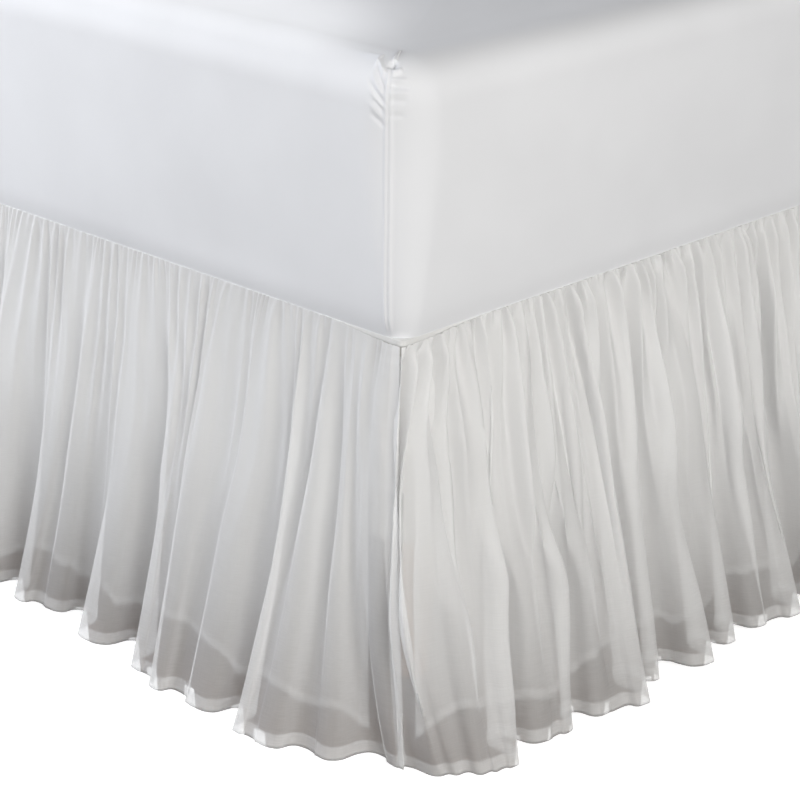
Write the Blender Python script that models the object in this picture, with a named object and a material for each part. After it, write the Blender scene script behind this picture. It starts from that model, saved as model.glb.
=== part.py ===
# Gathered bed skirt in two layers of cotton voile, on a plain queen-size bed.
# Metres, +Z up. The bed's foot faces -Y, its head +Y. The floor is z = 0.
import math
import random
from collections import namedtuple

import bmesh
import bpy

MM = 0.001

# The bed
BED_WIDTH = 1.524
BED_LENGTH = 2.032
DECK_HEIGHT = 0.457             # floor to the top of the skirt's deck
MATTRESS_THICKNESS = 0.260
MATTRESS_CORNER = 0.050         # radius of the upright corners
MATTRESS_EDGE = 0.032           # radius of the top and bottom edges
BOX_SPRING_THICKNESS = 0.225
BOX_SPRING_CORNER = 0.030
BOX_SPRING_EDGE = 0.010
SKIRT_ROOM = 0.012              # the base stands this far inside the skirt
LEG_RADIUS = 0.030
LEG_FOOT_RADIUS = 0.019
LEG_COLLAR_RADIUS = 0.033
LEG_COLLAR_HEIGHT = 0.012
LEG_NECK_RADIUS = 0.026
LEG_SIDES = 12
LEG_ROWS_X = (-0.62, 0.62)
LEG_ROWS_Y = (-0.86, 0.0, 0.86)
GAP = 0.0003                    # between pieces that touch
CLOTH_GAP = 0.0006              # between a slanting cloth edge and what it hangs from

# The cloth
DECK_CLOTH = 0.0015
LIP_CLOTH = 0.0024              # the deck's edge, turned down and folded on itself
LIP_DROP = 0.009
LIP_CORNER = 0.008
HEM_CLEARANCE = 0.007           # hem to floor
LINING_SHORTER = 0.030          # the lining's hem above the voile's hem
HEM_LIFT = 0.5                  # part of a slanting fold's lost height that shows
LOOP_FULLNESS = 1.25            # cloth in a loop against the straight line between its turns

# How each layer hangs: inset is its distance behind the seam line, gather half the depth of its
# gathers at the seam, the flares the powers of the depth at which its crests and its valleys stand
# out, lobe the fullness of its loops (0 for a plain wave), step the cloth between two points along
# the hem, and rows the depths of its points, from 0 at the seam to 1 at the hem.
Cloth = namedtuple("Cloth", "thickness inset gather crest_flare valley_flare lobe step rows")
VOILE = Cloth(0.0012, 0.0, 0.002, 1.40, 1.70, 0.144, 0.0175, (0.0, 0.15, 0.50, 1.0))
LINING = Cloth(0.0010, 0.0085, 0.0008, 1.55, 1.75, 0.05, 0.035, (0.0, 0.50, 1.0))

# The turns below were read from the picture for these flares. A layer that flares later is moved
# along the wall to match, so that each turn stays on the line of sight it was read from.
READ_CREST_FLARE = 0.80
READ_VALLEY_FLARE = 1.10

# A turn is where the cloth turns back: edge, crest, valley, crest and so on, in mm from the corner
# along the wall at the seam (top) and at the hem, how far it strays from that line half way down
# (bend), how far it stands out at the hem (out), and how much more half way down (bulge).
Turn = namedtuple("Turn", "top hem bend out bulge")

FOOT_TURNS = [
    Turn(1, -13, -6, 9, 10), Turn(24, 2, 14, 11, 14), Turn(46, 24, 16, 5, 9), Turn(62, 62, -4, 55, 0),
    Turn(76, 80, 0, 52, -4), Turn(88, 122, -12, 82, 0), Turn(102, 141, -8, 79, -5),
    Turn(126, 160, -18, 83, 0), Turn(150, 181, -14, 38, 0), Turn(188, 227, -4, 79, 0),
    Turn(214, 268, -6, 67, -4), Turn(246, 289, 0, 84, 0), Turn(284, 316, 0, 66, 0),
    Turn(314, 341, -14, 68, 0), Turn(350, 372, -8, 16, 0), Turn(388, 436, -14, 62, 0),
    Turn(424, 484, -6, 15, 0), Turn(458, 528, -6, 43, 0), Turn(480, 543, -8, 41, -3),
    Turn(506, 566, -16, 55, 0), Turn(548, 604, -6, 17, 0), Turn(590, 652, -8, 50, 0),
]
SIDE_TURNS = [
    Turn(5, -6, -8, 5, 2), Turn(28, 8, -16, 50, 0), Turn(38, 22, -14, 61, 0), Turn(50, 40, -20, 80, 0),
    Turn(70, 51, -8, 86, -8), Turn(88, 70, 0, 93, 0), Turn(112, 92, 0, 34, 0), Turn(144, 133, 0, 80, 0),
    Turn(158, 145, 2, 78, -3), Turn(168, 157, 6, 84, 0), Turn(190, 187, 4, 54, 0), Turn(206, 213, 4, 86, 0),
    Turn(222, 232, 2, 88, -8), Turn(246, 261, -8, 104, 0), Turn(272, 288, 0, 36, 0),
    Turn(298, 312, 2, 75, 0), Turn(320, 331, 2, 40, 0), Turn(343, 383, -6, 93, 0), Turn(366, 408, 2, 42, 0),
    Turn(386, 438, 10, 79, 0), Turn(420, 461, 6, 38, 0), Turn(452, 494, -6, 78, 0),
    Turn(478, 509, -6, 74, -4), Turn(505, 548, -10, 89, 0), Turn(534, 568, -4, 36, 0),
]
CORNER_TURNS = 2                # turns of a side drop that tuck under the foot drop
END_TURNS = 3                   # turns of the foot drop at its lapped end

# The folds past those turns are uneven by chance, each value between the two given, in mm.
FOLD_WIDTH = (62, 90)
FOLD_LEAN = (-6, 8)             # how much wider a fold is at the hem than at the seam
FOLD_OUT = (56, 98)
FOLD_BEND = (-12, 6)
VALLEY_OUT = (15, 42)
DENTED = 0.4                    # share of the folds that have a dent in their crest
DENT_SPREAD = (0.16, 0.22)      # half the dent's width, as a share of the fold's
DENT_OUT = 0.9                  # the dent stands out this much of its crest
DRIFT_BACK = 0.12               # share of a fold's drift from its seam that the next one loses

# The lining, in mm where not a share
LINING_START = {"foot": 50, "side": 22}
LINING_END = 6                  # from the head's edge
LINING_EDGE = 4                 # how far its side edges stand out at the hem
LINING_CLEAR = 20               # no fold of its own nearer than this to its far edge
LINING_OUT = 0.42               # its folds stand out this much of the voile's
LINING_BEHIND = 6               # its valleys lie this far behind the voile's
DEEP = 0.7                      # a valley is deep if it stands out less than this much of its crest


def material(name, colour, roughness, metallic=0.0):
    made = bpy.data.materials.new(name)
    made.use_nodes = True
    shader = made.node_tree.nodes["Principled BSDF"]
    shader.inputs["Base Color"].default_value = (*colour, 1.0)
    shader.inputs["Roughness"].default_value = roughness
    shader.inputs["Metallic"].default_value = metallic
    return made


def add_object(name, mesh, finish):
    mesh.materials.append(finish)
    piece = bpy.data.objects.new(name, mesh)
    bpy.context.scene.collection.objects.link(piece)
    return piece


class Wall:
    """A side of the bed that a drop hangs on: its corner, its run and its outward direction."""

    def __init__(self, corner, along, outward):
        self.corner, self.along, self.outward = corner, along, outward

    def point(self, distance, out, height):
        x = self.corner[0] + self.along[0] * distance + self.outward[0] * out
        y = self.corner[1] + self.along[1] * distance + self.outward[1] * out
        return (x, y, height)


def further_turns(seed, start, end):
    """Turns like the ones above, uneven and seeded, from one valley on to near the end of a wall."""
    chance = random.Random(seed)
    turns = []
    top, hem = start.top, start.hem
    while top < end:
        width = chance.uniform(*FOLD_WIDTH)
        lean = chance.uniform(*FOLD_LEAN) * (end - top) / end
        hem += (width + lean + (top - hem) * DRIFT_BACK) / 2
        top += width / 2
        out = chance.uniform(*FOLD_OUT)
        bend = chance.uniform(*FOLD_BEND)
        if chance.random() < DENTED:
            spread = width * chance.uniform(*DENT_SPREAD)
            turns.append(Turn(top - spread, hem - spread, bend, out, 0))
            turns.append(Turn(top, hem, bend, out * DENT_OUT, 0))
            turns.append(Turn(top + spread, hem + spread, bend, out, 0))
        else:
            turns.append(Turn(top, hem, bend, out, 0))
        hem += width / 2
        top += width / 2
        turns.append(Turn(top, hem, bend / 2, chance.uniform(*VALLEY_OUT), 0))
    return turns


def fitted(turns, fixed, end):
    """Stretches the turns after the first few, so that the last of them lands at the wall's end."""
    first, last = turns[fixed - 1], turns[-1]
    out = turns[:fixed]
    for turn in turns[fixed:]:
        top = first.top + (turn.top - first.top) * (end - first.top) / (last.top - first.top)
        hem = first.hem + (turn.hem - first.hem) * (end - first.hem) / (last.hem - first.hem)
        out.append(turn._replace(top=top, hem=hem))
    return out


def foot_drop_turns():
    width = BED_WIDTH / MM
    lapped = [turn._replace(top=width - turn.top, hem=width - turn.hem, bend=-turn.bend)
              for turn in reversed(FOOT_TURNS[:END_TURNS])]
    middle = FOOT_TURNS[:-1] + further_turns(11, FOOT_TURNS[-2], lapped[0].top - 50)
    turns = fitted(middle, len(FOOT_TURNS) - 1, lapped[0].top)[:-1]
    return turns + lapped


def side_drop_turns(given, seed):
    length = BED_LENGTH / MM
    turns = given + further_turns(seed, given[-1], length - 60)
    turns = fitted(turns, len(given), length - 4)
    turns[-1] = turns[-1]._replace(out=30, bend=0)
    return turns


def is_crest(number):
    return number % 2 == 1


def lining_turns(turns, start, end):
    """One plain fold of the lining inside each loop of the voile, between its deep valleys."""
    kept = [Turn(start, start, 0, LINING_EDGE, 0)]
    loop = []
    for number, turn in enumerate(turns[1:-1], 1):
        valley = not is_crest(number)
        near_edge = min(turn.top, turn.hem) < start or max(turn.top, turn.hem) > end - LINING_CLEAR
        if near_edge or (valley and not loop):
            continue
        if not valley or turn.out > DEEP * loop[-1].out:
            loop.append(turn)
            continue
        reach = min(turn.out + turn.bulge for turn in loop) * LINING_OUT
        top, hem, bend = (sum(part) / len(loop) for part in list(zip(*loop))[:3])
        kept.append(Turn(top, hem, bend, reach, 0))
        kept.append(turn._replace(out=max(turn.out - LINING_BEHIND, LINING_EDGE), bulge=0))
        loop = []
    last = kept[-1]
    kept.append(Turn((last.top + end) / 2, (last.hem + end) / 2, 0, LINING_CLEAR, 0))
    kept.append(Turn(end, end, 0, LINING_EDGE, 0))
    return kept


def turn_place(turn, crest, depth, cloth):
    """Where a turn is at a depth from 0 at the seam to 1 at the hem: along and out, in metres."""
    swell = 4 * depth * (1 - depth)
    flared = depth ** (cloth.crest_flare if crest else cloth.valley_flare)
    read = depth ** (READ_CREST_FLARE if crest else READ_VALLEY_FLARE)
    along = turn.top + (turn.hem - turn.top) * depth + turn.bend * swell + turn.out * (read - flared)
    out = turn.out * flared + turn.bulge * swell
    return along * MM, out * MM + (cloth.gather if crest else -cloth.gather) - cloth.inset


def section(turns, steps, depth, cloth):
    """The cloth's line at one depth, a loop from each turn to the next."""
    places = [turn_place(turn, is_crest(number), depth, cloth) for number, turn in enumerate(turns)]
    fullness = cloth.lobe * depth ** 1.6
    line = []
    for (a_along, a_out), (b_along, b_out), count in zip(places, places[1:], steps):
        for step in range(count):
            angle = math.pi * step / count
            reach = angle / math.pi + fullness * math.sin(2 * angle)
            along = a_along + (b_along - a_along) * reach
            out = (a_out + b_out) / 2 + (a_out - b_out) / 2 * math.cos(angle)
            line.append((along, out))
    line.append(places[-1])
    return line


def steps_between(turns, step):
    """Points for each loop, from the length of cloth in it at the hem."""
    steps = []
    for a, b in zip(turns, turns[1:]):
        length = LOOP_FULLNESS * math.hypot(a.hem - b.hem, a.out - b.out) * MM
        steps.append(max(1, round(length / step)))
    return steps


def hanging_sheet(name, wall, turns, cloth, seam, hem, finish):
    steps = steps_between(turns, cloth.step)
    lines = [section(turns, steps, depth, cloth) for depth in cloth.rows]
    bm = bmesh.new()
    grid = []
    for depth, line in zip(cloth.rows, lines):
        ring = []
        for (along, out), (_, hem_out) in zip(line, lines[-1]):
            lift = HEM_LIFT * max(hem_out, 0) ** 2 / (2 * (seam - hem))
            height = seam - (seam - hem - lift) * depth
            ring.append(bm.verts.new(wall.point(along, out, height)))
        grid.append(ring)
    for upper, lower in zip(grid, grid[1:]):
        for i in range(len(upper) - 1):
            bm.faces.new((upper[i], lower[i], lower[i + 1]))
            bm.faces.new((upper[i], lower[i + 1], upper[i + 1]))
    mesh = bpy.data.meshes.new(name)
    bm.to_mesh(mesh)
    bm.free()
    piece = add_object(name, mesh, finish)
    solid = piece.modifiers.new("Cloth thickness", "SOLIDIFY")
    solid.thickness = cloth.thickness
    solid.offset = 0
    return piece


def rounded_outline(half_width, back, front, corner, steps, square_back=False):
    """A plan outline, counter-clockwise from the foot's right corner; the head can stay square."""
    corners = [(half_width - corner, front + corner, -90), (half_width - corner, back - corner, 0),
               (corner - half_width, back - corner, 90), (corner - half_width, front + corner, 180)]
    outline = []
    for number, (x, y, start) in enumerate(corners):
        if square_back and number in (1, 2):
            outline.append((half_width if number == 1 else -half_width, back))
            continue
        for step in range(steps + 1):
            angle = math.radians(start + 90 * step / steps)
            outline.append((x + corner * math.cos(angle), y + corner * math.sin(angle)))
    return outline


def rounded_block(name, half_width, half_length, centre_y, bottom, top, corner, edge, steps, finish):
    """A block with round upright corners and round top and bottom edges."""
    levels = []
    for step in range(steps + 1):
        angle = math.radians(90 * step / steps)
        levels.append((edge * (1 - math.sin(angle)), bottom + edge * (1 - math.cos(angle))))
    for step in range(steps + 1):
        angle = math.radians(90 * step / steps)
        levels.append((edge * (1 - math.cos(angle)), top - edge * (1 - math.sin(angle))))
    bm = bmesh.new()
    rings = []
    for inset, height in levels:
        outline = rounded_outline(half_width - inset, centre_y + half_length - inset,
                                  centre_y - half_length + inset, corner - inset, 5)
        rings.append([bm.verts.new((x, y, height)) for x, y in outline])
    for lower, upper in zip(rings, rings[1:]):
        count = len(lower)
        for i in range(count):
            j = (i + 1) % count
            bm.faces.new((lower[i], lower[j], upper[j], upper[i]))
    bm.faces.new(list(reversed(rings[0])))
    bm.faces.new(rings[-1])
    mesh = bpy.data.meshes.new(name)
    bm.to_mesh(mesh)
    bm.free()
    mesh.shade_smooth()
    mesh.set_sharp_from_angle(angle=math.radians(40))
    return add_object(name, mesh, finish)


def deck(name, centre_y, finish):
    """The platform sheet with its edge turned down on three sides, open at the head."""
    half_width, front, back = BED_WIDTH / 2, centre_y - BED_LENGTH / 2, centre_y + BED_LENGTH / 2
    out = LIP_CLOTH / 2
    outer = rounded_outline(half_width + out, back, front - out, LIP_CORNER + out, 3, square_back=True)
    inner = rounded_outline(half_width - out, back, front + out, LIP_CORNER - out, 3, square_back=True)
    under, low = DECK_HEIGHT - DECK_CLOTH, DECK_HEIGHT - LIP_DROP
    bm = bmesh.new()
    top, outer_low, inner_low, inner_under = [
        [bm.verts.new((x, y, height)) for x, y in outline]
        for outline, height in ((outer, DECK_HEIGHT), (outer, low), (inner, low), (inner, under))]
    count = len(outer)
    for i in range(count):
        j = (i + 1) % count
        if math.isclose(outer[i][1], back) and math.isclose(outer[j][1], back):
            bm.faces.new((top[j], top[i], outer_low[i], inner_low[i], inner_under[i],
                          inner_under[j], inner_low[j], outer_low[j]))
            continue
        bm.faces.new((outer_low[i], outer_low[j], top[j], top[i]))
        bm.faces.new((inner_low[i], inner_low[j], outer_low[j], outer_low[i]))
        bm.faces.new((inner_under[i], inner_under[j], inner_low[j], inner_low[i]))
    bm.faces.new(top)
    bm.faces.new(list(reversed(inner_under)))
    mesh = bpy.data.meshes.new(name)
    bm.to_mesh(mesh)
    bm.free()
    return add_object(name, mesh, finish)


def leg(name, x, y, height, finish):
    """A turned foot: collar, round body and a narrow flat foot."""
    collar = height - LEG_COLLAR_HEIGHT
    profile = [(LEG_FOOT_RADIUS, 0.0), (LEG_NECK_RADIUS, height * 0.5), (LEG_RADIUS, height * 0.85),
               (LEG_NECK_RADIUS, collar), (LEG_COLLAR_RADIUS, collar), (LEG_COLLAR_RADIUS, height)]
    bm = bmesh.new()
    rings = []
    for radius, z in profile:
        ring = []
        for i in range(LEG_SIDES):
            angle = 2 * math.pi * i / LEG_SIDES
            ring.append(bm.verts.new((radius * math.cos(angle), radius * math.sin(angle), z)))
        rings.append(ring)
    for lower, upper in zip(rings, rings[1:]):
        for i in range(LEG_SIDES):
            j = (i + 1) % LEG_SIDES
            bm.faces.new((lower[i], lower[j], upper[j], upper[i]))
    bm.faces.new(list(reversed(rings[0])))
    bm.faces.new(rings[-1])
    mesh = bpy.data.meshes.new(name)
    bm.to_mesh(mesh)
    bm.free()
    mesh.shade_smooth()
    mesh.set_sharp_from_angle(angle=math.radians(35))
    piece = add_object(name, mesh, finish)
    piece.location = (x, y, 0)
    return piece


def main():
    for old in list(bpy.data.objects):
        bpy.data.objects.remove(old)

    voile = material("White cotton voile", (0.80, 0.80, 0.78), 0.9)
    lining = material("White cotton lining", (0.74, 0.73, 0.71), 0.9)
    deck_cloth = material("White platform sheeting", (0.82, 0.82, 0.82), 0.85)
    sheeting = material("White percale", (0.80, 0.81, 0.83), 0.8)
    ticking = material("Grey ticking", (0.55, 0.54, 0.52), 0.9)
    beech = material("Beech", (0.45, 0.30, 0.18), 0.5)

    # The folds stand out past the foot, so the bed sits a little towards the head.
    foot_turns = foot_drop_turns()
    right_turns = side_drop_turns(SIDE_TURNS, 23)
    left_turns = side_drop_turns(SIDE_TURNS[:CORNER_TURNS] + [Turn(56, 42, -10, 30, 0)], 37)
    centre_y = max(turn.out for turn in foot_turns) * MM / 2

    right, foot = BED_WIDTH / 2, centre_y - BED_LENGTH / 2
    drops = {
        "foot": (Wall((right, foot), (-1, 0), (0, -1)), foot_turns),
        "right": (Wall((right, foot), (0, 1), (1, 0)), right_turns),
        "left": (Wall((-right, foot), (0, 1), (-1, 0)), left_turns),
    }
    seam = DECK_HEIGHT - LIP_DROP - CLOTH_GAP
    lining_seam = DECK_HEIGHT - DECK_CLOTH - CLOTH_GAP
    for side, (wall, turns) in drops.items():
        hanging_sheet("ruffle_" + side, wall, turns, VOILE, seam, HEM_CLEARANCE, voile)
        start = LINING_START["foot" if side == "foot" else "side"]
        end = BED_WIDTH / MM - start if side == "foot" else BED_LENGTH / MM - LINING_END
        hanging_sheet("lining_" + side, wall, lining_turns(turns, start, end), LINING, lining_seam,
                      HEM_CLEARANCE + LINING_SHORTER, lining)

    deck("deck", centre_y, deck_cloth)
    base_top = DECK_HEIGHT - DECK_CLOTH - GAP
    base_bottom = base_top - BOX_SPRING_THICKNESS
    rounded_block("box_spring", BED_WIDTH / 2 - SKIRT_ROOM, BED_LENGTH / 2 - SKIRT_ROOM, centre_y,
                  base_bottom, base_top, BOX_SPRING_CORNER, BOX_SPRING_EDGE, 2, ticking)
    rounded_block("mattress", BED_WIDTH / 2, BED_LENGTH / 2, centre_y, DECK_HEIGHT + GAP,
                  DECK_HEIGHT + GAP + MATTRESS_THICKNESS, MATTRESS_CORNER, MATTRESS_EDGE, 4, sheeting)
    number = 1
    for x in LEG_ROWS_X:
        for y in LEG_ROWS_Y:
            leg("leg_%d" % number, x, centre_y + y, base_bottom - GAP, beech)
            number += 1


main()
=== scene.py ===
# Sheer gathered bed skirt on a plain bed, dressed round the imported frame.
import math
import random
from collections import namedtuple

import bmesh
import bpy
import numpy as np
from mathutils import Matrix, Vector


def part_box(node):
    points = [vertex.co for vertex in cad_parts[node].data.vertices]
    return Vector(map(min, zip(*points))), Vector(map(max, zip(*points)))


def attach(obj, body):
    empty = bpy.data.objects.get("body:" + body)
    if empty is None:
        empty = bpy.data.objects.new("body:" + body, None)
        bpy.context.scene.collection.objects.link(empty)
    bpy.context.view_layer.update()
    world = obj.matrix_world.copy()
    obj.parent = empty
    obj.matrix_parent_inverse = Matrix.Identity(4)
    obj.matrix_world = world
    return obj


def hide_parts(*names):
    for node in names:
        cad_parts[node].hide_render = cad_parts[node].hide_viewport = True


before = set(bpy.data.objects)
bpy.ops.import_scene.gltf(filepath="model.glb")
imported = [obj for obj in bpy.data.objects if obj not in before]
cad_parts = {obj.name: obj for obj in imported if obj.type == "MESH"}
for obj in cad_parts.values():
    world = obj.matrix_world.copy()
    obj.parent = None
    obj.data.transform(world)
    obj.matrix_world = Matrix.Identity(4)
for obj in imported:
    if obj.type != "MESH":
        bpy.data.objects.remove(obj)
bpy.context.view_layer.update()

mm = 0.001
mattressLow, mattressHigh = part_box("mattress")
springLow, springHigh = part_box("box_spring")
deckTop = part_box("deck")[1][2]
bedWidth = mattressHigh[0] - mattressLow[0]
bedLength = mattressHigh[1] - mattressLow[1]
rightSide, footSide, headSide = mattressHigh[0], mattressLow[1], mattressHigh[1]
bedMiddle = np.array([0, (footSide + headSide) / 2])


def linearColour(hexColour):
    parts = [int(hexColour[i:i + 2], 16) / 255 for i in (1, 3, 5)]
    return [p / 12.92 if p <= 0.04045 else ((p + 0.055) / 1.055) ** 2.4 for p in parts] + [1.0]


def addNode(tree, kind, settings=None, links=None):
    node = tree.nodes.new(kind)
    for name, value in (settings or {}).items():
        if isinstance(name, str) and hasattr(node, name):
            setattr(node, name, value)
        else:
            node.inputs[name].default_value = value
    for name, source in (links or {}).items():
        tree.links.new(source, node.inputs[name])
    return node


def newMaterial(name):
    made = bpy.data.materials.new(name)
    made.use_nodes = True
    made.node_tree.nodes.clear()
    return made, made.node_tree


def smoothStep(value, low=0.0, high=1.0):
    share = np.clip((value - low) / (high - low), 0, 1)
    return share * share * (3 - 2 * share)


def softNoise(seed, u, v=None):
    # value noise from -1 to 1 that changes over about one unit of u and v
    table = np.random.RandomState(seed).uniform(-1, 1, (64, 64))
    if v is None:
        v = np.zeros_like(u)
    u, v = np.broadcast_arrays(u, v)
    iu, iv = np.floor(u).astype(int), np.floor(v).astype(int)
    fu, fv = smoothStep(u - iu), smoothStep(v - iv)
    corners = [table[(iu + a) % 64, (iv + b) % 64] for a, b in ((0, 0), (1, 0), (0, 1), (1, 1))]
    upper = corners[0] * (1 - fu) + corners[1] * fu
    lower = corners[2] * (1 - fu) + corners[3] * fu
    return upper * (1 - fv) + lower * fv


def runLengths(points):
    # how far along their own line the points of a plan lie
    return np.concatenate([[0], np.cumsum(np.hypot(*np.diff(points, axis=0).T))])


def withHeight(plan, height):
    # the points of a plan, or lengths along it, with a height put beside them
    return np.column_stack([plan, np.full(len(plan), height)])


def gridMesh(name, grid, cloth, outwardFirst=True, materials=(), bandRows=0, bandColumns=0):
    # a sheet from rows and columns of points, with the cloth's own metres as its UV map; the last
    # rows and the outer columns of a banded sheet take the second material
    rows, columns = grid.shape[:2]
    corner = (np.arange(rows - 1)[:, None] * columns + np.arange(columns - 1)).ravel()
    quads = np.stack([corner, corner + columns, corner + columns + 1, corner + 1], 1)
    if not outwardFirst:
        quads = quads[:, ::-1]
    mesh = bpy.data.meshes.new(name)
    mesh.from_pydata(grid.reshape(-1, 3).tolist(), [], quads.tolist())
    layer = mesh.uv_layers.new(name="cloth")
    layer.uv.foreach_set("vector", cloth.reshape(-1, 2)[quads.ravel()].astype(np.float32).ravel())
    mesh.shade_smooth()
    for made in materials:
        mesh.materials.append(made)
    if bandRows or bandColumns:
        row, column = corner // columns, corner % columns
        band = (row >= rows - 1 - bandRows) | (column < bandColumns) | (column >= columns - 1 - bandColumns)
        mesh.polygons.foreach_set("material_index", band.astype(np.int32))
    piece = bpy.data.objects.new(name, mesh)
    bpy.context.scene.collection.objects.link(piece)
    return piece


camera = {
    "lens": 108.4,              # mm
    "sensor": 36.0,
    "distance": 2.121,          # from the bed's corner, level
    "height": 1.236,
    "pitch": 21.55,             # degrees down
    "yaw": 45.0,                # degrees from the foot's face
    "aimOff": 0.05,             # degrees that the corner stands right of the middle
}
yaw = math.radians(camera["yaw"])
cameraPlace = Vector((rightSide + camera["distance"] * math.sin(yaw),
                      footSide - camera["distance"] * math.cos(yaw), camera["height"]))
photoCamera = bpy.data.objects.new("photoCamera", bpy.data.cameras.new("photoCamera"))
photoCamera.data.lens = camera["lens"]
photoCamera.data.sensor_width = camera["sensor"]
photoCamera.location = cameraPlace
photoCamera.rotation_euler = (math.radians(90 - camera["pitch"]), 0,
                              yaw + math.radians(camera["aimOff"]))
bpy.context.scene.collection.objects.link(photoCamera)
bpy.context.scene.camera = photoCamera
print("camera placed")


# Cotton voile: thin, open plain weave of white combed cotton. Over half of it is holes, so what is
# behind shows through one layer near the hem and fades as layers and gathers add up. Thicker weft
# threads show as short level streaks. The threads are 0.4 mm apart, drawn at about 1 mm so that
# they show.
voileLook = {
    "thread": "#f6f6f6",
    "cover": 0.43,              # share of a layer that is thread, where it hangs smooth
    "gathered": 0.90,           # the same where its finest gathers lie on each other
    "gatheredTo": (0.46, 0.10),     # metres below the seam: from where smooth, to where gathered
    "streakCover": 0.020,       # how much the cover varies in streaks
    "streaksLeft": 0.1,         # share of the streaks that is left where the cloth is gathered
    "weaveRange": (0.5, 0.9),   # of the streaks and upright threads added up
    "backLight": 0.26,          # share of the light that comes through the threads
    "roughness": 0.92,
    "sheen": 0.12,
    "streakLength": 0.020,      # metres of cloth
    "streakHeight": 0.0009,
    "warpWidth": 0.0011,
    "warpLength": 0.022,
    "warpShare": 0.4,           # how plain the upright threads are beside the streaks
    "bump": 0.02,
}


def voileMaterial(name, look):
    made, tree = newMaterial(name)
    cloth = addNode(tree, "ShaderNodeUVMap", {"uv_map": "cloth"}).outputs["UV"]
    down = addNode(tree, "ShaderNodeSeparateXYZ", None, {"Vector": cloth}).outputs["Y"]
    smooth, full = look["gatheredTo"]
    layers = addNode(tree, "ShaderNodeMapRange", {
        "From Min": -smooth, "From Max": -full,
        "To Min": look["cover"], "To Max": look["gathered"]}, {"Value": down})
    streakPlace = addNode(tree, "ShaderNodeMapping", {
        "Scale": (1 / look["streakLength"], 1 / look["streakHeight"], 1)}, {"Vector": cloth})
    streaks = addNode(tree, "ShaderNodeTexNoise", {"noise_dimensions": "2D", "Scale": 1.0,
                                                   "Detail": 2.0, "Roughness": 0.6},
                      {"Vector": streakPlace.outputs["Vector"]})
    warpPlace = addNode(tree, "ShaderNodeMapping", {
        "Scale": (1 / look["warpWidth"], 1 / look["warpLength"], 1)}, {"Vector": cloth})
    warp = addNode(tree, "ShaderNodeTexNoise", {"noise_dimensions": "2D", "Scale": 1.0,
                                                "Detail": 1.0},
                   {"Vector": warpPlace.outputs["Vector"]})
    weave = addNode(tree, "ShaderNodeMath", {"operation": "MULTIPLY_ADD", 1: look["warpShare"]},
                    {0: warp.outputs["Fac"], 2: streaks.outputs["Fac"]})
    thin, thick = look["weaveRange"]
    uneven = addNode(tree, "ShaderNodeMapRange", {
        "From Min": thin, "From Max": thick,
        "To Min": -look["streakCover"], "To Max": look["streakCover"]},
        {"Value": weave.outputs["Value"]})
    thinness = addNode(tree, "ShaderNodeMapRange", {
        "From Min": look["cover"], "From Max": look["gathered"],
        "To Min": 1.0, "To Max": look["streaksLeft"]}, {"Value": layers.outputs["Result"]})
    cover = addNode(tree, "ShaderNodeMath", {"operation": "MULTIPLY_ADD", "use_clamp": True},
                    {0: uneven.outputs["Result"], 1: thinness.outputs["Result"],
                     2: layers.outputs["Result"]})
    bump = addNode(tree, "ShaderNodeBump", {"Strength": look["bump"], "Distance": 0.0006},
                   {"Height": weave.outputs["Value"]})
    front = addNode(tree, "ShaderNodeBsdfPrincipled", {
        "Base Color": linearColour(look["thread"]), "Roughness": look["roughness"],
        "Sheen Weight": look["sheen"], "Sheen Roughness": 0.6, "IOR": 1.45,
        "Specular IOR Level": 0.2}, {"Normal": bump.outputs["Normal"]})
    through = addNode(tree, "ShaderNodeBsdfTranslucent", {
        "Color": linearColour(look["thread"])}, {"Normal": bump.outputs["Normal"]})
    thread = addNode(tree, "ShaderNodeMixShader", {0: look["backLight"]},
                     {1: front.outputs["BSDF"], 2: through.outputs["BSDF"]})
    hole = addNode(tree, "ShaderNodeBsdfTransparent")
    sheer = addNode(tree, "ShaderNodeMixShader", None, {
        0: cover.outputs["Value"], 1: hole.outputs["BSDF"], 2: thread.outputs["Shader"]})
    addNode(tree, "ShaderNodeOutputMaterial", None, {"Surface": sheer.outputs["Shader"]})
    return made


# Percale: close plain weave, calendered smooth. It looks matt and even, with a cool white and
# hardly a texture; its 0.25 mm threads are drawn at 0.8 mm.
percaleLook = {
    "colour": "#e6e7ea",
    "roughness": 0.82,
    "thread": 0.0008,
    "bump": 0.06,
    "patch": 0.12,              # metres across the faint uneven patches
    "patchShade": 0.97,         # the darkest of them, as a share of the colour
}


def percaleMaterial(name, look):
    made, tree = newMaterial(name)
    cloth = addNode(tree, "ShaderNodeUVMap", {"uv_map": "cloth"}).outputs["UV"]
    weave = addNode(tree, "ShaderNodeTexNoise", {
        "noise_dimensions": "2D", "Scale": 1 / look["thread"], "Detail": 1.0}, {"Vector": cloth})
    patches = addNode(tree, "ShaderNodeTexNoise", {
        "noise_dimensions": "2D", "Scale": 1 / look["patch"], "Detail": 2.0}, {"Vector": cloth})
    shade = addNode(tree, "ShaderNodeMapRange", {
        "From Min": 0.3, "From Max": 0.7, "To Min": look["patchShade"], "To Max": 1.0},
        {"Value": patches.outputs["Fac"]})
    colour = addNode(tree, "ShaderNodeMix", {
        "data_type": "RGBA", "blend_type": "MULTIPLY", 0: 1.0, 6: linearColour(look["colour"])},
        {7: shade.outputs["Result"]})
    bump = addNode(tree, "ShaderNodeBump", {"Strength": look["bump"], "Distance": 0.0004},
                   {"Height": weave.outputs["Fac"]})
    surface = addNode(tree, "ShaderNodeBsdfPrincipled", {
        "Roughness": look["roughness"], "Sheen Weight": 0.08, "IOR": 1.45,
        "Specular IOR Level": 0.25},
        {"Base Color": colour.outputs[2], "Normal": bump.outputs["Normal"]})
    addNode(tree, "ShaderNodeOutputMaterial", None, {"Surface": surface.outputs["BSDF"]})
    return made


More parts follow.
